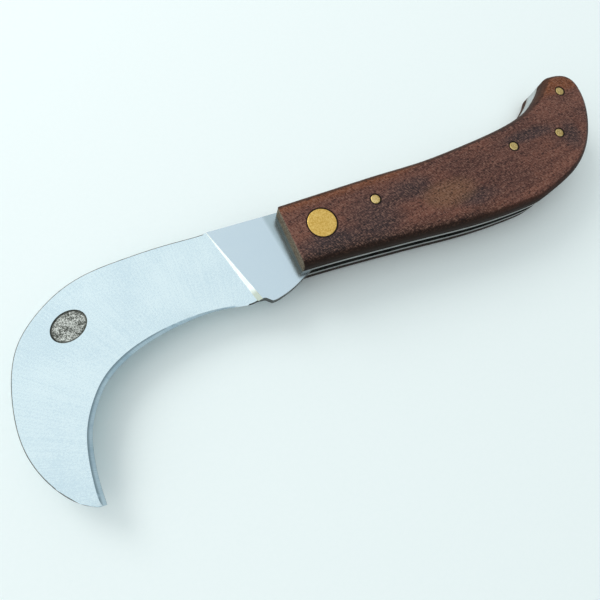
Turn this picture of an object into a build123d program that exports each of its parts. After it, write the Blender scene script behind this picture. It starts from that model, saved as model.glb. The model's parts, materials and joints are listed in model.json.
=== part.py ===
from build123d import *
import os
from math import asin, atan2, cos, degrees, hypot, radians, sin, tan

# Folding pruning knife, open. Millimetres. The pivot axis is +Z through the
# origin, the blade points along -X with its hook towards -Y, and the lower
# scale rests on Z = 0.

# ---- Driving sizes -------------------------------------------------------
# Thicknesses, from the lower face to the upper one
scale_thickness = 4.5
liner_thickness = 1.2
blade_thickness = 3.0
side_clearance = 0.05       # blade face to liner, each side

# Handle, side view
front_reach = 9.9           # front end ahead of the pivot axis
front_rake = 0.6            # belly corner behind the back corner
back_height = 8.9           # pivot axis to the back
front_depth = 9.9           # pivot axis to the belly at the front end
belly_swell = 5.0           # belly's lowest point below its front end
butt_rise = 14.0            # top of the butt above the back
butt_past_tip = 14.7        # butt end beyond the tip of the folded blade
beak_radius = 3.4
beak_slope = 52             # direction of the neck where the beak's arc starts
front_corner_radius = 1.5   # back corner of the front end, in side view
scale_edge_radius = 2.2
front_edge_radius = 0.5

# Blade, side view
blade_reach = 87.3          # pivot axis to the far side of the hook
hook_drop = 46.1            # pivot axis down to the tip
folded_tip_height = 10.5    # tip above the pivot axis when folded
plunge_top = (-29.5, 9.9)   # where the ground face starts, at the spine
plunge_foot = (-22.0, -12.8)
plunge_top_run = 0.15       # length of the slope down to the ground face
plunge_foot_run = 1.4
kick_corner = (-19.6, -14.3)
kick_width = 1.1

# Blade, cross-section
ground_spine = 2.6          # spine thickness behind the plunge line
tip_spine = 1.1
edge_thickness = 0.12
bevel_width = 1.3
bevel_angle = 21            # each side's bevel to the blade's middle plane
bevel_growth = 5            # stations over which the bevel grows to its width
foot_thickness = 0.9        # unsharpened strip beside the plunge line's foot
foot_facet = 3.0            # and its width

# Tang and spring
tang_flat = 6.2             # pivot axis to either flat of the tang
tang_corner = 4.0           # flats run this far behind the pivot axis
folded_flat_front = 15.0    # the folded flat runs on along the ricasso
spring_nose = 5.5           # front end of the spring ahead of the axis
nose_gap = 0.05
flat_gap = 0.02             # spring to tang flat
spring_heel = 4.6           # depth of the spring where it meets its lobe
spring_heel_lead = 8.2      # heel ahead of the spring pin's axis
spring_bend = 34.4          # the underside bends down over this length, to the heel
spring_lobe_radius = 3.4
lobe_rise_run = 6.5         # the lobe ends this far behind the spring pin's axis
blade_swing_gap = 1.2       # turning blade to the spring's head
tip_gap = 2.4               # folded tip to the spring above it
head_foot = 1.0             # lower end of the spring's head, above the axis

# Pins
pivot_pin_diameter = 4.0
pivot_running_clearance = 0.03
rosette_diameter = 8.2
rosette_thickness = 1.5
pin_diameter = 2.8
front_pin = (17.3, 1.5)
spring_pin_from_butt = 34.5
spring_pin_height = 3.5
rear_pin_from_butt = 17.0
rear_pin_height = 3.0
butt_pin_from_butt = 8.5
butt_pin_from_top = 6.5

# Plain stamped oval on the blade's upper face
stamp_length = 9.5
stamp_height = 7.5
stamp_depth = 0.3
stamp_station = 4           # it lies on this station of the blade,
stamp_share = 0.34          # this share of the way from spine to edge

# ---- Worked-out sizes ----------------------------------------------------
slot_width = blade_thickness + 2 * side_clearance
lower_liner_z = scale_thickness
slot_z = lower_liner_z + liner_thickness
blade_z = slot_z + side_clearance
upper_liner_z = slot_z + slot_width
upper_scale_z = upper_liner_z + liner_thickness
total_thickness = upper_scale_z + scale_thickness
mid_z = total_thickness / 2

# Stations along the ground blade, plunge line to tip. Each gives the spine
# point and the edge point as shares of blade_reach and hook_drop.
BLADE_STATIONS = [
    ((-0.481, 0.224), (-0.368, -0.253)),
    ((-0.573, 0.224), (-0.468, -0.245)),
    ((-0.665, 0.217), (-0.573, -0.267)),
    ((-0.756, 0.187), (-0.659, -0.310)),
    ((-0.837, 0.119), (-0.725, -0.371)),
    ((-0.922, -0.009), (-0.777, -0.462)),
    ((-0.974, -0.184), (-0.812, -0.564)),
    ((-0.998, -0.401), (-0.833, -0.672)),
    ((-0.996, -0.603), (-0.843, -0.785)),
    ((-0.967, -0.772), (-0.8465, -0.881)),
    ((-0.919, -0.910), (-0.8465, -0.954)),
    ((-0.8625, -0.9855), (-0.8465, -0.989)),
]
TIP = (-0.8465 * blade_reach, -hook_drop)

# The folding angle brings the tip to its height under the spring.
tip_radius = hypot(*TIP)
tip_angle = degrees(atan2(TIP[1], TIP[0])) % 360
fold_angle = 360 + degrees(asin(folded_tip_height / tip_radius)) - tip_angle
folded_tip_x = tip_radius * cos(radians(tip_angle + fold_angle))
butt_x = folded_tip_x + butt_past_tip
handle_length = front_reach + butt_x
butt_top = back_height + butt_rise
beak_rise = beak_radius * (1 - cos(radians(beak_slope)))
rim_radius = min(scale_edge_radius, 0.65 * beak_radius)

spring_pin = (butt_x - spring_pin_from_butt, spring_pin_height)
rear_pin = (butt_x - rear_pin_from_butt, rear_pin_height)
butt_pin = (butt_x - butt_pin_from_butt, butt_top - butt_pin_from_top)


def unfold(x, y):
    """A point given on the folded blade, as it lies on the open blade."""
    a = radians(fold_angle)
    return (x * cos(a) + y * sin(a), -x * sin(a) + y * cos(a))


def along(share, y):
    """A point at a share of the handle's length from its front end."""
    return (share * handle_length - front_reach, y)


def plate(face, z, thickness):
    """A flat piece with its lower face at height z."""
    return extrude(Pos(0, 0, z) * face, thickness)


def rod(centre, diameter, z, length):
    """A round piece standing on height z."""
    return extrude(Pos(centre[0], centre[1], z) * Circle(diameter / 2), length)


# ---- Handle outline ------------------------------------------------------
def handle_outline():
    """Square front, straight back, concave neck and a bird's-head butt."""
    front_top = along(0, back_height)
    front_foot = (front_rake - front_reach, -front_depth)
    back_end = along(0.25, back_height)
    back = Line(front_top, back_end)
    neck = Spline(
        back_end,
        along(0.42, back_height - 0.02 * butt_rise),
        along(0.55, back_height + 0.04 * butt_rise),
        along(0.68, back_height + 0.145 * butt_rise),
        along(0.79, back_height + 0.35 * butt_rise),
        along(0.865, back_height + 0.675 * butt_rise),
        along(0.898, butt_top - beak_rise),
        tangents=[(1, 0), (cos(radians(beak_slope)), sin(radians(beak_slope)))],
    )
    beak = JernArc(neck @ 1, neck % 1, beak_radius, -beak_slope)
    butt = Spline(
        beak @ 1,
        along(0.984, back_height + 0.86 * butt_rise),
        along(1.0, back_height + 0.51 * butt_rise),
        tangents=[(1, 0), (0, -1)],
    )
    heel = Spline(
        butt @ 1,
        along(0.983, 0.81 * back_height),
        along(0.927, -0.26 * front_depth),
        along(0.836, -front_depth),
        along(0.735, -front_depth - 0.74 * belly_swell),
        along(0.60, -front_depth - belly_swell),
        tangents=[(0, -1), (-1, 0)],
    )
    belly = Spline(
        heel @ 1,
        along(0.48, -front_depth - 0.90 * belly_swell),
        along(0.35, -front_depth - 0.62 * belly_swell),
        along(0.20, -front_depth - 0.31 * belly_swell),
        front_foot,
        tangents=[(-1, 0), (-1, 0.05)],
    )
    front = Line(front_foot, front_top)
    return make_face(Curve() + [back, neck, beak, butt, heel, belly, front])


outline = handle_outline()
front_corner = outline - fillet(outline.vertices().sort_by(Axis.X)[0], front_corner_radius)


# ---- Spring --------------------------------------------------------------
def spring_region():
    """Everything above the spring's underside; its back is the handle's."""
    underside = tang_flat + flat_gap
    clear = 3 * butt_top
    nose = (-spring_nose, underside)
    lobe_x, lobe_y = spring_pin
    heel = (lobe_x - spring_heel_lead, back_height - spring_heel)
    bend_start = (heel[0] - spring_bend, underside)
    lobe_low = (lobe_x, lobe_y - spring_lobe_radius)
    lobe_rise = (lobe_x + lobe_rise_run, lobe_y + spring_lobe_radius)
    far = max(hypot(*station_ends(i)[0]) for i in range(len(BLADE_STATIONS)))
    swing = far + blade_swing_gap
    pocket_top = (folded_tip_x, folded_tip_height + tip_gap)
    head_foot_x = (swing ** 2 - head_foot ** 2) ** 0.5
    head_top_y = folded_tip_height - tip_gap
    head_top = ((swing ** 2 - head_top_y ** 2) ** 0.5, head_top_y)
    edges = [
        Line((-spring_nose, clear), nose),
        Line(nose, bend_start),
        Spline(
            bend_start,
            heel,
            lobe_low,
            lobe_rise,
            pocket_top,
            head_top,
            tangents=[(1, 0), (0.1, -1)],
        ),
        CenterArc(
            (0, 0, 0), swing, degrees(atan2(head_top[1], head_top[0])),
            degrees(asin(head_foot / swing)) - degrees(atan2(head_top[1], head_top[0])),
        ),
        Line((head_foot_x, head_foot), (butt_x + front_reach, head_foot)),
        Line((butt_x + front_reach, head_foot), (butt_x + front_reach, clear)),
        Line((butt_x + front_reach, clear), (-spring_nose, clear)),
    ]
    return make_face(Curve() + edges)


# ---- Blade ---------------------------------------------------------------
def tang_face():
    """Tang and ricasso, from the spring's seat to the plunge line."""
    seat = -spring_nose - nose_gap
    rear_open = (tang_corner, tang_flat)
    rear_folded = unfold(-tang_corner, tang_flat)
    flat_end = unfold(folded_flat_front, tang_flat)
    mid_angle = radians((degrees(atan2(rear_open[1], rear_open[0]))
                         + degrees(atan2(rear_folded[1], rear_folded[0]))) / 2)
    cam_radius = hypot(tang_corner, tang_flat)
    cam_rear = (cam_radius * cos(mid_angle), cam_radius * sin(mid_angle))
    kick_front = (kick_corner[0] + kick_width, kick_corner[1])
    flat_direction = (rear_folded[0] - flat_end[0], rear_folded[1] - flat_end[1])
    edges = [
        Line((seat, back_height), plunge_top),
        Line(plunge_top, plunge_foot),
        Spline(plunge_foot, kick_corner, tangents=[(1, 0.25), (0.85, -0.5)]),
        Line(kick_corner, kick_front),
        Spline(kick_front, flat_end, tangents=[(1, 0.15), flat_direction]),
        Line(flat_end, rear_folded),
        ThreePointArc(rear_folded, cam_rear, rear_open),
        Line(rear_open, (seat, tang_flat)),
        Line((seat, tang_flat), (seat, back_height)),
    ]
    return make_face(Curve() + edges)


def blade_section(spine, edge, spine_half, shoulder_half, edge_half, bevel):
    """Six-sided section standing across the blade from spine to edge."""
    width = hypot(edge[0] - spine[0], edge[1] - spine[1])
    ux = (edge[0] - spine[0]) / width
    uy = (edge[1] - spine[1]) / width
    shoulder = (edge[0] - bevel * ux, edge[1] - bevel * uy)
    corners = [
        (*spine, mid_z + spine_half),
        (*shoulder, mid_z + shoulder_half),
        (*edge, mid_z + edge_half),
        (*edge, mid_z - edge_half),
        (*shoulder, mid_z - shoulder_half),
        (*spine, mid_z - spine_half),
    ]
    return make_face(Polyline(*corners, close=True))


def station_ends(index):
    """Spine point, edge point and width of a station."""
    spine, edge = BLADE_STATIONS[index]
    spine_point = (spine[0] * blade_reach, spine[1] * hook_drop)
    edge_point = (edge[0] * blade_reach, edge[1] * hook_drop)
    width = hypot(edge_point[0] - spine_point[0], edge_point[1] - spine_point[1])
    return spine_point, edge_point, width


def station_grind(index):
    """Spine thickness, shoulder thickness and bevel width of a station."""
    width = station_ends(index)[2]
    share = (index + 1) / len(BLADE_STATIONS)
    spine = ground_spine + (tip_spine - ground_spine) * share
    unreached = max(0, 1 - (index + 1) / bevel_growth)
    bevel = min(bevel_width * (1 - unreached ** 2), width / 2)
    shoulder = edge_thickness + 2 * bevel * tan(radians(bevel_angle))
    return spine, shoulder, bevel


def ground_blade():
    """The plunge slope and the hooked blade behind it."""
    full = blade_thickness / 2
    blunt = foot_thickness / 2
    start = blade_section(plunge_top, plunge_foot, full, full, full, foot_facet)
    first = blade_section(
        (plunge_top[0] - plunge_top_run, plunge_top[1]),
        (plunge_foot[0] - plunge_foot_run, plunge_foot[1]),
        ground_spine / 2, blunt, 0.85 * blunt, foot_facet,
    )
    sections = [first]
    for i in range(len(BLADE_STATIONS)):
        spine_point, edge_point, width = station_ends(i)
        spine, shoulder, bevel = station_grind(i)
        sections.append(blade_section(
            spine_point, edge_point, spine / 2, shoulder / 2, edge_thickness / 2, bevel))
    return [loft([start, first], ruled=True), loft(sections)]


def stamp():
    """A shallow oval pocket with its floor along the ground face."""
    spine_point, edge_point, width = station_ends(stamp_station)
    spine, shoulder, bevel = station_grind(stamp_station)
    ux = (edge_point[0] - spine_point[0]) / width
    uy = (edge_point[1] - spine_point[1]) / width
    slope = (spine - shoulder) / 2 / (width - bevel)
    reach = stamp_share * width
    height = mid_z + spine / 2 - slope * reach - stamp_depth
    centre = (spine_point[0] + reach * ux, spine_point[1] + reach * uy, height)
    floor = Plane(centre, x_dir=(-uy, ux, 0), z_dir=(slope * ux, slope * uy, 1))
    return extrude(floor * Ellipse(stamp_length / 2, stamp_height / 2), blade_thickness)


def blade():
    tang = plate(tang_face(), blade_z, blade_thickness)
    body = tang
    for piece in ground_blade():
        body += piece
    bore = rod((0, 0), pivot_pin_diameter + 2 * pivot_running_clearance, 0, total_thickness)
    return body - bore - stamp()


# ---- Scales, liners, pins -------------------------------------------------
def rosette(z):
    """A brass disc sunk flush round the pivot pin's end."""
    return rod((0, 0), rosette_diameter, z, rosette_thickness)


def liner(z):
    body = plate(outline - front_corner, z, liner_thickness)
    body -= rod((0, 0), pivot_pin_diameter, z, liner_thickness)
    for centre in (front_pin, spring_pin, rear_pin, butt_pin):
        body -= rod(centre, pin_diameter, z, liner_thickness)
    return body


def front_rounding(outer_z, side):
    """What rounding takes off a scale along its front end; side is 1 on the upper one."""
    radius = front_edge_radius
    foot = Vector(front_rake - front_reach, -front_depth, outer_z)
    rise = Vector(-front_rake, front_depth + back_height)
    edge = Plane(foot - rise, x_dir=Vector(rise.Y, -rise.X), z_dir=rise)
    square = Pos(radius / 2, side * radius / 2) * Rectangle(radius, radius)
    round_part = Pos(radius, side * radius) * Circle(radius)
    return extrude(edge * (square - round_part), 3 * rise.length)


def scale(z, outer_z, rosette_z):
    """A wooden scale, rounded over round its outer face."""
    body = plate(outline, z, scale_thickness)
    outer = body.faces().sort_by(lambda f: abs(f.center().Z - outer_z))[0]
    front = outer.edges().sort_by(Axis.X)[0]
    rim = [e for e in outer.edges() if e.center().X > front.center().X + 0.01]
    body = fillet(rim, rim_radius) - front_rounding(outer_z, 1 if outer_z > z else -1)
    body -= plate(front_corner, z, scale_thickness)
    body -= rod((0, 0), pivot_pin_diameter, z, scale_thickness)
    body -= rosette(rosette_z)
    for centre in (front_pin, spring_pin, rear_pin, butt_pin):
        body -= rod(centre, pin_diameter, z, scale_thickness)
    return body


def spring():
    body = plate(outline & spring_region(), slot_z, slot_width)
    for centre in (spring_pin, butt_pin):
        body -= rod(centre, pin_diameter, slot_z, slot_width)
    return body


upper_rosette_z = total_thickness - rosette_thickness
side_depth = scale_thickness + liner_thickness
pivot = rod((0, 0), pivot_pin_diameter, 0, total_thickness)
NODES = {
    "blade": blade(),
    "back_spring": spring(),
    "lower_liner": liner(lower_liner_z),
    "upper_liner": liner(upper_liner_z),
    "lower_scale": scale(0, 0, 0),
    "upper_scale": scale(upper_scale_z, total_thickness, upper_rosette_z),
    "pivot_pin": pivot,
    "lower_rosette": rosette(0) - pivot,
    "upper_rosette": rosette(upper_rosette_z) - pivot,
    "spring_pin": rod(spring_pin, pin_diameter, 0, total_thickness),
    "butt_pin": rod(butt_pin, pin_diameter, 0, total_thickness),
    "lower_front_pin": rod(front_pin, pin_diameter, 0, side_depth),
    "upper_front_pin": rod(front_pin, pin_diameter, upper_liner_z, side_depth),
    "lower_rear_pin": rod(rear_pin, pin_diameter, 0, side_depth),
    "upper_rear_pin": rod(rear_pin, pin_diameter, upper_liner_z, side_depth),
}

os.makedirs("parts", exist_ok=True)
for name, solid in NODES.items():
    export_step(solid, f"parts/{name}.step")
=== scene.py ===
import json
from math import hypot, radians

import bmesh
import bpy
from mathutils import Matrix, Vector


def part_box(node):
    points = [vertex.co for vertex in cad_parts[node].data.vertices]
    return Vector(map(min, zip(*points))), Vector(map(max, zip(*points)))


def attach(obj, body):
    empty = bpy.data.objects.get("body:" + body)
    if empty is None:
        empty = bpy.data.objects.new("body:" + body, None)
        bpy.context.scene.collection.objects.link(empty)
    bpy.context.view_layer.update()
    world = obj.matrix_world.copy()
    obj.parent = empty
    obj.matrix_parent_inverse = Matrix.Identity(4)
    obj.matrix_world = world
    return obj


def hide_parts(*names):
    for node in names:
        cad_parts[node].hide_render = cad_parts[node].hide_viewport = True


# Folding pruning knife, lying open on a pale table. Metres.
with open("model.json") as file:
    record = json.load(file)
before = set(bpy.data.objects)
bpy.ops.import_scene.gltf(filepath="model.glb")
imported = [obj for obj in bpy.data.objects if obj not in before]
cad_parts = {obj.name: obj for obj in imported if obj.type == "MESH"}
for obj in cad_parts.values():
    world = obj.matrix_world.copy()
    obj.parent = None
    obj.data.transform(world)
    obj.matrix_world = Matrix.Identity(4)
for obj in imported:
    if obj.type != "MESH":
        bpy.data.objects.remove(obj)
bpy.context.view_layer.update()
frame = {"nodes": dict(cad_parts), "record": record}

MM = 0.001
nodes = frame["nodes"]


def centre(node):
    """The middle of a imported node's box."""
    low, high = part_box(node)
    return (low + high) / 2


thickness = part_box("upper_scale")[1].z
front_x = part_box("upper_liner")[0].x
middle_z = thickness / 2

# The throat of the hook, which the sharpened edge faces, and the point that the grinding goes round.
throat = Vector((-42 * MM, -48 * MM, middle_z))
GRIND_X = -38 * MM
GRIND_Y = -50 * MM

# The plunge line crosses y = 0 at PLUNGE_X. It and the handle's front lean along -X by a share of Y.
PLUNGE_X = -26.2 * MM
PLUNGE_LEAN = 0.33
FRONT_LEAN = 0.032

# The stamp is an oval pocket in the blade's upper face.
stamp_place = Vector((-69.75 * MM, -2.19 * MM, middle_z))
stamp_along = Vector((0.918, 0.397, 0.0))
stamp_across = Vector((stamp_along.y, -stamp_along.x, 0.0))
STAMP_HALF_LENGTH = 4.75 * MM
STAMP_HALF_WIDTH = 3.75 * MM
STAMP_MARGIN = 0.05 * MM

# Patches of the wood's figure, in millimetres: middle x, middle y, half length, half width.
VIOLET_PATCHES = [
    (15, -4, 9, 9), (27, 1, 9, 4), (47, -8, 8, 3), (74, 5.5, 10, 2.2), (88, 1, 4, 6), (0, -6, 9, 4)]
AMBER_PATCH = (39, -4, 9, 4.5)

# How far the outer rims are eased, and the angles that tell flat joints and sharp edges apart.
BLADE_EASE = 0.28 * MM
PIN_EASE = 0.25 * MM
ROSETTE_EASE = 0.15 * MM
WELD = 0.001 * MM
FLAT_ANGLE = radians(0.5)
SHARP_ANGLE = radians(12.0)
RIM_ANGLE = radians(60.0)
SMALL_PINS = ["upper_front_pin", "spring_pin", "upper_rear_pin", "butt_pin"]


# ---- Material maths --------------------------------------------------------
class Socket:
    """An output of a node. Arithmetic on it adds Math nodes."""

    def __init__(self, nodes, output):
        self.nodes = nodes
        self.output = output

    def math(self, operation, first, second):
        return self.nodes.add("ShaderNodeMath", {"operation": operation}, {0: first, 1: second})

    def __add__(self, other):
        return self.math("ADD", self, other)

    def __sub__(self, other):
        return self.math("SUBTRACT", self, other)

    def __rsub__(self, other):
        return self.math("SUBTRACT", other, self)

    def __mul__(self, other):
        return self.math("MULTIPLY", self, other)

    def __truediv__(self, other):
        return self.math("DIVIDE", self, other)

    def __pow__(self, other):
        return self.math("POWER", self, other)

    __radd__ = __add__
    __rmul__ = __mul__

    def angle(self, other):
        """The direction of the point (other, self), in radians."""
        return self.math("ARCTAN2", self, other)

    def ramp(self, start, end, low=0.0, high=1.0):
        """Eases from low at start to high at end."""
        return self.nodes.add(
            "ShaderNodeMapRange", {"interpolation_type": "SMOOTHSTEP"},
            {"Value": self, "From Min": start, "From Max": end, "To Min": low, "To Max": high})


class Nodes:
    """A node tree under construction."""

    def __init__(self, tree):
        self.tree = tree

    def put(self, socket, value):
        if isinstance(value, Socket):
            self.tree.links.new(value.output, socket)
        else:
            socket.default_value = value

    def add(self, kind, settings, sockets, output=0):
        """Adds a node: its settings first, then its sockets' values or links."""
        node = self.tree.nodes.new(kind)
        for name, value in settings.items():
            setattr(node, name, value)
        for name, value in sockets.items():
            self.put(node.inputs[name], value)
        return Socket(self, node.outputs[output])

    def axes(self, vector, names="XYZ"):
        """The named parts of a vector, as numbers."""
        return [self.add("ShaderNodeSeparateXYZ", {}, {"Vector": vector}, name) for name in names]

    def mix(self, first, second, factor):
        """Colours mixed by a factor."""
        sockets = {0: factor}
        sockets[6] = first if isinstance(first, Socket) else (*first, 1.0)
        sockets[7] = second if isinstance(second, Socket) else (*second, 1.0)
        return self.add("ShaderNodeMix", {"data_type": "RGBA"}, sockets, 2)


class Finish(Nodes):
    """A material under construction, on the piece's own coordinates."""

    def __init__(self, name, **constants):
        self.material = bpy.data.materials.new(name)
        self.material.use_nodes = True
        super().__init__(self.material.node_tree)
        self.shader = self.tree.nodes["Principled BSDF"]
        for socket, value in constants.items():
            self.shader.inputs[socket.replace("_", " ")].default_value = value
        self.place = self.add("ShaderNodeTexCoord", {}, {}, "Object")

    def vector(self, x, y, z):
        return self.add("ShaderNodeCombineXYZ", {}, {"X": x, "Y": y, "Z": z})

    def turned(self, angle, scale):
        """The piece's coordinates turned about Z by an angle in degrees, then scaled."""
        turn = self.add("ShaderNodeMapping", {}, {
            "Vector": self.place, "Rotation": (0.0, 0.0, radians(angle))})
        return self.add("ShaderNodeVectorMath", {"operation": "MULTIPLY"}, {0: turn, 1: scale})

    def noise(self, vector, scale=1.0, detail=3.0, roughness=0.5, distortion=0.0):
        return self.add("ShaderNodeTexNoise", {}, {
            "Vector": vector, "Scale": scale, "Detail": detail, "Roughness": roughness,
            "Distortion": distortion})

    def bump(self, height, depth):
        """Height from 0 to 1, over a depth in metres."""
        return self.add("ShaderNodeBump", {}, {"Height": height, "Strength": 1.0, "Distance": depth})

    def wear(self, **links):
        """Links what varies to the shader, and gives the material."""
        for socket, value in links.items():
            self.put(self.shader.inputs[socket.replace("_", " ")], value)
        return self.material


# ---- Finishes --------------------------------------------------------------
def blade_steel():
    """Satin steel: polish lines along the ricasso, grinding lines across the ground face."""
    f = Finish("blade_steel", Metallic=1.0)
    x, y = f.axes(f.place, "XY")
    hook_x = x - GRIND_X
    hook_y = y - GRIND_Y
    radius = (hook_x ** 2 + hook_y ** 2) ** 0.5
    past = x + PLUNGE_LEAN * y
    ground = past.ramp(PLUNGE_X, PLUNGE_X - 0.5 * MM)
    around = hook_y.angle(hook_x)
    grind = f.noise(f.vector(around * 130, radius * 50, 0.0), detail=2.0, roughness=0.6)
    polish = f.noise(f.turned(0.0, (60.0, 3600.0, 900.0)), detail=2.0, roughness=0.6)
    lines = polish + ground * (grind - polish)
    cloud = f.noise(f.place, 60.0, 3.0, 0.5)
    speck = f.noise(f.place, 2600.0, 3.0, 0.7)
    tone = 0.35 * cloud + 0.2 * lines + 0.45 * speck
    colour = f.mix((0.61, 0.745, 0.81), (0.73, 0.85, 0.885), tone.ramp(0.38, 0.62))
    colour = f.mix(colour, (0.54, 0.64, 0.715), 0.75 * past.ramp(PLUNGE_X - 0.4 * MM, PLUNGE_X))
    # Painted shade and painted reflection of the handle's front: the ricasso darker next to the
    # handle.
    painted_front_shade = (x + 0.14 * y).ramp(front_x - 2.9 * MM, front_x - 1.5 * MM)
    return f.wear(
        Base_Color=f.mix(colour, (0.28, 0.36, 0.38), 0.55 * painted_front_shade * (0.75 + 0.5 * lines)),
        Roughness=0.16 + 0.07 * lines + 0.06 * cloud,
        Normal=f.bump(lines, 0.0008 * MM))


def edge_steel():
    """The sharpened bevel: stone-ground, darker and coarser, with lines along the edge."""
    f = Finish("edge_steel", Metallic=1.0)
    x, y, z = f.axes(f.place)
    around = (y - GRIND_Y).angle(x - GRIND_X)
    lines = f.noise(f.vector(around * 160, z * 400, 0.0), detail=2.0, roughness=0.6)
    cloud = f.noise(f.place, 220.0, 3.0, 0.6)
    height = ((z - middle_z) ** 2) ** 0.5
    tone = (0.5 * lines + 0.5 * cloud).ramp(0.38, 0.62)
    colour = f.mix((0.42, 0.59, 0.69), (0.60, 0.77, 0.85), tone)
    shoulder = height.ramp(0.28 * MM, 0.50 * MM)
    colour = f.mix(colour, (0.24, 0.34, 0.39), 0.85 * shoulder)
    return f.wear(
        Base_Color=colour,
        Roughness=0.30 + 0.12 * lines,
        Normal=f.bump(lines, 0.004 * MM))


def plunge_steel():
    """The plunge slope: pale as a painted highlight, a little green at its foot as a painted
    reflection.
    """
    f = Finish("plunge_steel", Metallic=1.0)
    [y] = f.axes(f.place, "Y")
    cloud = f.noise(f.place, 500.0, 3.0, 0.6)
    # Painted reflection: greenish towards the foot of the slope.
    painted_foot_reflection = y.ramp(-9.0 * MM, -11.0 * MM)
    painted_highlight = f.mix((0.86, 0.89, 0.85), (0.95, 0.97, 0.93), cloud.ramp(0.35, 0.65))
    return f.wear(
        Base_Color=f.mix(painted_highlight, (0.50, 0.55, 0.46), 0.8 * painted_foot_reflection),
        Roughness=0.6 + 0.1 * cloud)


def dark_steel(name, dark, light):
    """Dull steel, dark as painted shade: the blade's narrow sides, and the liners' faces inside the
    slot; also the liners' front ends.
    """
    f = Finish(name, Metallic=1.0)
    cloud = f.noise(f.place, 120.0, 3.0, 0.5)
    speck = f.noise(f.turned(0.0, (500.0, 500.0, 5000.0)), detail=3.0, roughness=0.6)
    tone = (0.35 * cloud + 0.65 * speck).ramp(0.36, 0.64)
    return f.wear(
        Base_Color=f.mix(dark, light, tone),
        Roughness=0.42 + 0.2 * cloud,
        Normal=f.bump(speck, 0.008 * MM))


def stamped_steel():
    """The stamp's floor: etched dark between raised bright crumbs."""
    f = Finish("stamped_steel", Metallic=1.0)
    crumb = f.noise(f.place, 2600.0, 3.0, 0.6, 1.5)
    patch = f.noise(f.place, 500.0, 2.0, 0.5)
    light = (0.75 * crumb + 0.25 * patch).ramp(0.44, 0.58)
    x, y = f.axes(f.place, "XY")
    dx = x - stamp_place.x
    dy = y - stamp_place.y
    along = (dx * stamp_along.x + dy * stamp_along.y) / STAMP_HALF_LENGTH
    across = (dx * stamp_across.x + dy * stamp_across.y) / STAMP_HALF_WIDTH
    # Painted shade: the floor darkened along the pocket's wall.
    painted_wall_shade = (along ** 2 + across ** 2).ramp(0.74, 0.84)
    light = light * (1 - 0.85 * painted_wall_shade)
    return f.wear(
        Base_Color=f.mix((0.06, 0.065, 0.055), (0.62, 0.64, 0.60), light),
        Roughness=0.5 - 0.15 * light,
        Normal=f.bump(crumb, 0.08 * MM))


def plain_steel(name, dark, light):
    """Satin steel of the liners and the spring."""
    f = Finish(name, Metallic=1.0)
    lines = f.noise(f.turned(0.0, (120.0, 600.0, 5000.0)), detail=3.0, roughness=0.65)
    cloud = f.noise(f.place, 90.0, 3.0, 0.5)
    return f.wear(
        Base_Color=f.mix(dark, light, (0.3 * cloud + 0.7 * lines).ramp(0.36, 0.64)),
        Roughness=0.26 + 0.14 * cloud,
        Normal=f.bump(lines, 0.006 * MM))


def brass(name, dark, light):
    """Brass filed flush and rubbed, with crossing fine scratches."""
    f = Finish(name, Metallic=1.0)
    scratch = f.noise(f.turned(35.0, (260.0, 4200.0, 900.0)), detail=2.0, roughness=0.6)
    cross = f.noise(f.turned(-50.0, (320.0, 5200.0, 900.0)), detail=2.0, roughness=0.6)
    grit = f.noise(f.place, 2600.0, 2.0, 0.6)
    lines = 0.6 * scratch + 0.4 * cross
    return f.wear(
        Base_Color=f.mix(dark, light, (0.45 * lines + 0.55 * grit).ramp(0.36, 0.64)),
        Roughness=0.32 + 0.16 * lines,
        Normal=f.bump(lines, 0.006 * MM))


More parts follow.
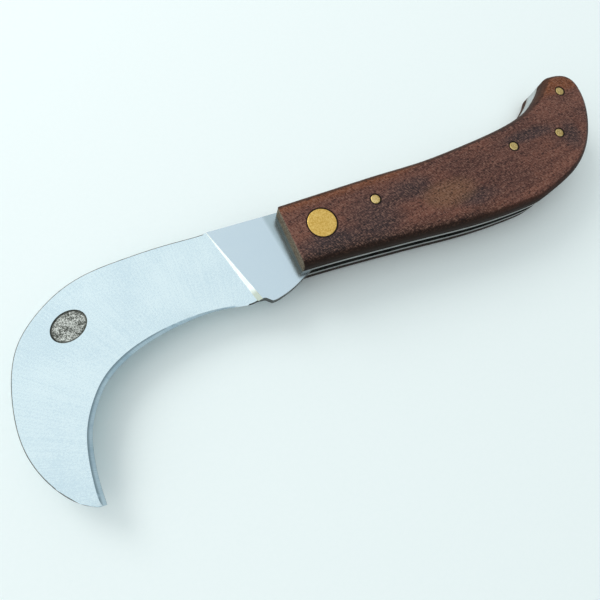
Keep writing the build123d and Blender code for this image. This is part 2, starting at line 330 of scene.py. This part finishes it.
def wood():
    """Oiled red-brown hardwood: smoky violet figure, open pores, dark round the pins; painted shade on
    the rims and along the belly, painted light along the back edge.
    """
    belly_shade_dark = (0.016, 0.013, 0.011)
    ochre = (0.20, 0.105, 0.050)
    back_light_orange = (0.205, 0.066, 0.022)
    pale_grain = (0.28, 0.155, 0.115)
    pore = (0.010, 0.007, 0.008)
    rim_shade_brown = (0.026, 0.018, 0.011)
    edge_shade_brown = (0.020, 0.010, 0.007)
    glue_line = (0.008, 0.005, 0.004)
    end_dark = (0.07, 0.052, 0.034)
    end_light = (0.20, 0.165, 0.112)
    f = Finish("wood", Coat_IOR=1.45, Coat_Roughness=0.2, Specular_IOR_Level=0.1)
    x, y, z = f.axes(f.place)
    warp = f.noise(f.turned(10.0, (22.0, 60.0, 60.0)), detail=3.0, roughness=0.5)
    figure = f.noise(f.turned(-38.0, (90.0, 40.0, 60.0)), detail=5.0, roughness=0.65, distortion=0.6)
    streak = f.noise(f.turned(-8.0, (50.0, 420.0, 400.0)), detail=3.0, roughness=0.6).ramp(0.38, 0.62)
    fibre = f.noise(f.turned(-12.0, (700.0, 2600.0, 2000.0)), detail=4.0, roughness=0.7)
    fleck = f.noise(f.turned(58.0, (1200.0, 2500.0, 2200.0)), detail=3.0, roughness=0.7)
    grain = 0.45 * fibre + 0.55 * fleck

    def patch(middle_x, middle_y, half_x, half_y):
        """A soft patch of the figure, in millimetres, its outline torn by the figure's noise."""
        across = (x - middle_x * MM) / (half_x * MM)
        up = (y - middle_y * MM) / (half_y * MM)
        return (across ** 2 + up ** 2 + figure + 1.4 * warp).ramp(2.7, 1.0)

    red = f.mix((0.112, 0.043, 0.031), (0.168, 0.066, 0.045), streak)
    violet = f.mix((0.026, 0.020, 0.023), (0.040, 0.028, 0.031), streak)
    colour = f.mix(red, violet, 0.3 * (0.6 * warp + 0.4 * figure).ramp(0.52, 0.40))
    for place in VIOLET_PATCHES:
        colour = f.mix(colour, violet, 0.85 * patch(*place))
    # Painted shade: the face darkened along the belly, towards the front.
    painted_belly_shade = (y + 0.07 * x + 3 * MM * warp).ramp(-4.5 * MM, -9.0 * MM) * x.ramp(62 * MM, 40 * MM)
    colour = f.mix(colour, belly_shade_dark, 0.85 * painted_belly_shade)
    colour = f.mix(colour, ochre, 0.5 * patch(*AMBER_PATCH))
    # Painted light: the face lighter and more orange along the back edge.
    painted_back_light = (y - x.ramp(20 * MM, 85 * MM, 0.0, 10 * MM)).ramp(4.5 * MM, 8.0 * MM)
    colour = f.mix(colour, back_light_orange, 0.7 * painted_back_light)
    colour = f.mix(colour, pale_grain, 0.55 * grain.ramp(0.51, 0.58))
    pores = grain.ramp(0.49, 0.40)
    colour = f.mix(colour, pore, 0.85 * pores)
    off_middle = (z - middle_z) ** 2
    # Painted shade: the scale's rounded sides darker, more so on the belly side.
    painted_rim_shade = off_middle.ramp((middle_z - 0.3 * MM) ** 2, (middle_z - 1.7 * MM) ** 2)
    shade_towards_belly = y.ramp(4 * MM, -8 * MM)
    colour = f.mix(colour, rim_shade_brown, painted_rim_shade * (0.5 + 0.4 * shade_towards_belly))
    # Painted shade: a dark line where the face rounds over into the sides.
    painted_edge_shade = off_middle.ramp((middle_z - 0.01 * MM) ** 2, (middle_z - 0.32 * MM) ** 2)
    colour = f.mix(colour, edge_shade_brown, 0.72 * painted_edge_shade)
    plain = 1 - painted_rim_shade
    for pin in SMALL_PINS + ["upper_rosette"]:
        low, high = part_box(pin)
        middle = centre(pin)
        edge = (high.x - low.x) / 2
        away = ((x - middle.x) ** 2 + (y - middle.y) ** 2) ** 0.5
        ring = away.ramp(edge + 0.55 * MM, edge + 0.2 * MM)
        colour = f.mix(colour, glue_line, 0.95 * ring)
        plain = plain * (1 - ring)
    end_grain = (x + FRONT_LEAN * y).ramp(front_x + 0.45 * MM, front_x + 0.33 * MM)
    tubes = f.noise(f.place, 2600.0, 2.0, 0.6).ramp(0.40, 0.60)
    colour = f.mix(colour, f.mix(end_dark, end_light, tubes), 0.85 * end_grain)
    return f.wear(
        Base_Color=colour,
        Roughness=0.42 + 0.12 * fibre + 0.2 * painted_rim_shade,
        Coat_Weight=(0.10 + 0.3 * warp) * plain * (1 - painted_edge_shade) * (1 - painted_belly_shade) * (1 - 0.7 * painted_back_light),
        Normal=f.bump(grain - 1.2 * pores, 0.016 * MM))


FINISHES = {
    "blade_steel": blade_steel(),
    "spring_steel": plain_steel("spring_steel", (0.36, 0.38, 0.38), (0.58, 0.60, 0.61)),
    "liner_steel": plain_steel("liner_steel", (0.30, 0.31, 0.30), (0.52, 0.53, 0.52)),
    "wood": wood(),
    "brass": brass("brass", (0.62, 0.37, 0.075), (0.86, 0.60, 0.19)),
}
PIN_BRASS = brass("pin_brass", (0.56, 0.38, 0.115), (0.90, 0.71, 0.33))

# The places in these lists of what each kind of face gets.
GROUND, EDGE, STAMP, SIDE, PLUNGE = range(5)
LINER_EDGE, LINER_FLAT, LINER_END = range(3)
BLADE_FINISHES = [
    FINISHES["blade_steel"],
    edge_steel(),
    stamped_steel(),
    # Painted shade: the blade's narrow sides and eased outline made very dark.
    dark_steel("side_painted_shade", (0.06, 0.065, 0.06), (0.16, 0.165, 0.155)),
    plunge_steel(),
]
LINER_FINISHES = [
    FINISHES["liner_steel"],
    # Painted shade: the liners' faces inside the slot made near black.
    dark_steel("slot_painted_shade", (0.03, 0.032, 0.03), (0.08, 0.08, 0.075)),
    dark_steel("liner_end_steel", (0.08, 0.08, 0.065), (0.20, 0.20, 0.17)),
]
SLOTS = {part["node"]: part["material_slot"] for part in frame["record"]["subparts"]}
for name, slot in SLOTS.items():
    nodes[name].data.materials.clear()
    nodes[name].data.materials.append(FINISHES[slot])


# ---- Finer pieces ------------------------------------------------------------
def finer(name, node, body, materials, pick=None, eased=None, ease=0.0, eased_material=0):
    """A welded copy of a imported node, a material picked for each face, some edges eased."""
    shape = bmesh.new()
    shape.from_mesh(nodes[node].data)
    bmesh.ops.remove_doubles(shape, verts=shape.verts, dist=WELD)
    if pick:
        for face in shape.faces:
            face.material_index = pick(face)
    else:
        bmesh.ops.dissolve_limit(shape, angle_limit=FLAT_ANGLE, verts=shape.verts, edges=shape.edges)
    if eased:
        edges = [edge for edge in shape.edges if eased(edge)]
        rounds = bmesh.ops.bevel(
            shape, geom=edges, offset=ease, offset_type="OFFSET", affect="EDGES", segments=2,
            profile=0.5, loop_slide=True, material=-1)
        for face in rounds["faces"]:
            face.material_index = eased_material
    mesh = bpy.data.meshes.new(name)
    shape.to_mesh(mesh)
    shape.free()
    mesh.polygons.foreach_set("use_smooth", [True] * len(mesh.polygons))
    mesh.set_sharp_from_angle(angle=SHARP_ANGLE)
    for material in materials:
        mesh.materials.append(material)
    piece = bpy.data.objects.new(name, mesh)
    bpy.context.scene.collection.objects.link(piece)
    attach(piece, body)
    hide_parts(node)


def in_stamp(vertex):
    """Whether a vertex is inside the stamp's oval, on the upper side."""
    offset = vertex.co - stamp_place
    along = offset.dot(stamp_along) / (STAMP_HALF_LENGTH + STAMP_MARGIN)
    across = offset.dot(stamp_across) / (STAMP_HALF_WIDTH + STAMP_MARGIN)
    return offset.z > 0 and along ** 2 + across ** 2 < 1


def blade_finish(face):
    """The kind of face of the blade that this is."""
    at = face.calc_center_median()
    normal = face.normal
    if all(in_stamp(vertex) for vertex in face.verts):
        return STAMP
    if abs(normal.z) < 0.3:
        return SIDE
    past = at.x + PLUNGE_LEAN * at.y - PLUNGE_X
    if -1.3 * MM < past < 0.05 * MM and normal.x < -0.05:
        return PLUNGE
    inward = normal.x * (throat.x - at.x) + normal.y * (throat.y - at.y)
    return EDGE if past < 0 and abs(normal.z) < 0.965 and inward > 0 else GROUND


def blade_outline(edge):
    """Whether an edge is on the rim of the ground blade's upper face."""
    if len(edge.link_faces) != 2:
        return False
    low = min(vertex.co.z for vertex in edge.verts)
    past = max(vertex.co.x + PLUNGE_LEAN * vertex.co.y for vertex in edge.verts) - PLUNGE_X
    kinds = {face.material_index for face in edge.link_faces}
    return low > middle_z + 0.2 * MM and past < -1.0 * MM and kinds == {GROUND, SIDE}


def liner_finish(face):
    """The kind of face of a liner that this is."""
    if abs(face.normal.z) > 0.5:
        return LINER_FLAT
    at_front = face.calc_center_median().x < front_x + 1.5 * MM
    return LINER_END if at_front and face.normal.x < -0.6 else LINER_EDGE


def brass_rim(edge):
    """Whether an edge is the rim of a brass end that lies in a scale's face."""
    if len(edge.link_faces) != 2:
        return False
    outer = all(min(vertex.co.z, thickness - vertex.co.z) < 0.05 * MM for vertex in edge.verts)
    bore = all(hypot(vertex.co.x, vertex.co.y) < 3.0 * MM for vertex in edge.verts)
    return outer and not bore and edge.calc_face_angle() > RIM_ANGLE


finer("hooked_blade", "blade", "blade", BLADE_FINISHES, blade_finish, blade_outline, BLADE_EASE, SIDE)
for side in ("upper", "lower"):
    finer(f"{side}_liner_plate", f"{side}_liner", "handle", LINER_FINISHES, liner_finish)
for name in SLOTS:
    if name.endswith("rosette"):
        finer(f"eased_{name}", name, "handle", [FINISHES["brass"]], eased=brass_rim, ease=ROSETTE_EASE)
    elif name.endswith("pin") and name != "pivot_pin":
        finer(f"eased_{name}", name, "handle", [PIN_BRASS], eased=brass_rim, ease=PIN_EASE)


# ---- Table, light and camera ------------------------------------------------
def table():
    """A pale matt table top just under the knife."""
    f = Finish("pale_table", Roughness=0.7)
    grain = f.noise(f.place, 900.0, 3.0, 0.6)
    material = f.wear(Base_Color=f.mix((0.88, 0.955, 0.95), (0.91, 0.975, 0.97), grain))
    mesh = bpy.data.meshes.new("pale_table")
    shape = bmesh.new()
    bmesh.ops.create_grid(shape, x_segments=1, y_segments=1, size=3.0)
    bmesh.ops.translate(shape, verts=shape.verts, vec=(0.0, 0.0, -0.05 * MM))
    shape.to_mesh(mesh)
    shape.free()
    mesh.materials.append(material)
    top = bpy.data.objects.new("pale_table", mesh)
    bpy.context.scene.collection.objects.link(top)


def sky():
    """A soft bright sky, brighter towards -X, dimmer towards +X and -Y."""
    world = bpy.data.worlds.new("sky")
    bpy.context.scene.world = world
    world.use_nodes = True
    sky_nodes = Nodes(world.node_tree)
    direction = sky_nodes.add("ShaderNodeTexCoord", {}, {}, "Generated")
    x, y = sky_nodes.axes(direction, "XY")
    side = x.ramp(0.60, 0.24, 0.45, 1.0)
    front = y.ramp(-0.85, 0.0, 0.35, 1.0)
    left = x.ramp(-0.45, -0.80, 1.0, 1.7)
    glow = side * front * left
    background = world.node_tree.nodes["Background"]
    sky_nodes.put(background.inputs["Strength"], 1.02 * glow)
    background.inputs["Color"].default_value = (0.93, 0.985, 1.0, 1.0)
    bpy.context.scene.view_settings.view_transform = "Standard"


def soft_light(name, place, size, power, colour):
    """A round soft panel that faces the pivot."""
    light = bpy.data.lights.new(name, "AREA")
    light.shape = "DISK"
    light.size = size
    light.energy = power
    light.color = colour
    lamp = bpy.data.objects.new(name, light)
    bpy.context.scene.collection.objects.link(lamp)
    lamp.location = place
    lamp.rotation_mode = "QUATERNION"
    lamp.rotation_quaternion = (-Vector(place)).to_track_quat("-Z", "Y")


def camera():
    """The viewpoint over the hook, looking towards the butt."""
    view = bpy.data.cameras.new("viewpoint")
    view.sensor_width = 36.0
    view.lens = 28.8
    view.clip_start = 0.01
    view.clip_end = 20.0
    eye = bpy.data.objects.new("viewpoint", view)
    bpy.context.scene.collection.objects.link(eye)
    right = Vector((0.90936, -0.38858, 0.14858))
    up = Vector((0.34226, 0.90182, 0.26378))
    turn = Matrix((right, up, right.cross(up))).transposed().to_4x4()
    place = Vector((-43.44 * MM, -41.19 * MM, thickness + 117.48 * MM))
    eye.matrix_world = Matrix.Translation(place) @ turn
    bpy.context.scene.camera = eye


table()
sky()
soft_light("panel", (-0.35, 0.75, 0.55), size=0.5, power=3.2, colour=(1.0, 0.99, 0.96))
camera()
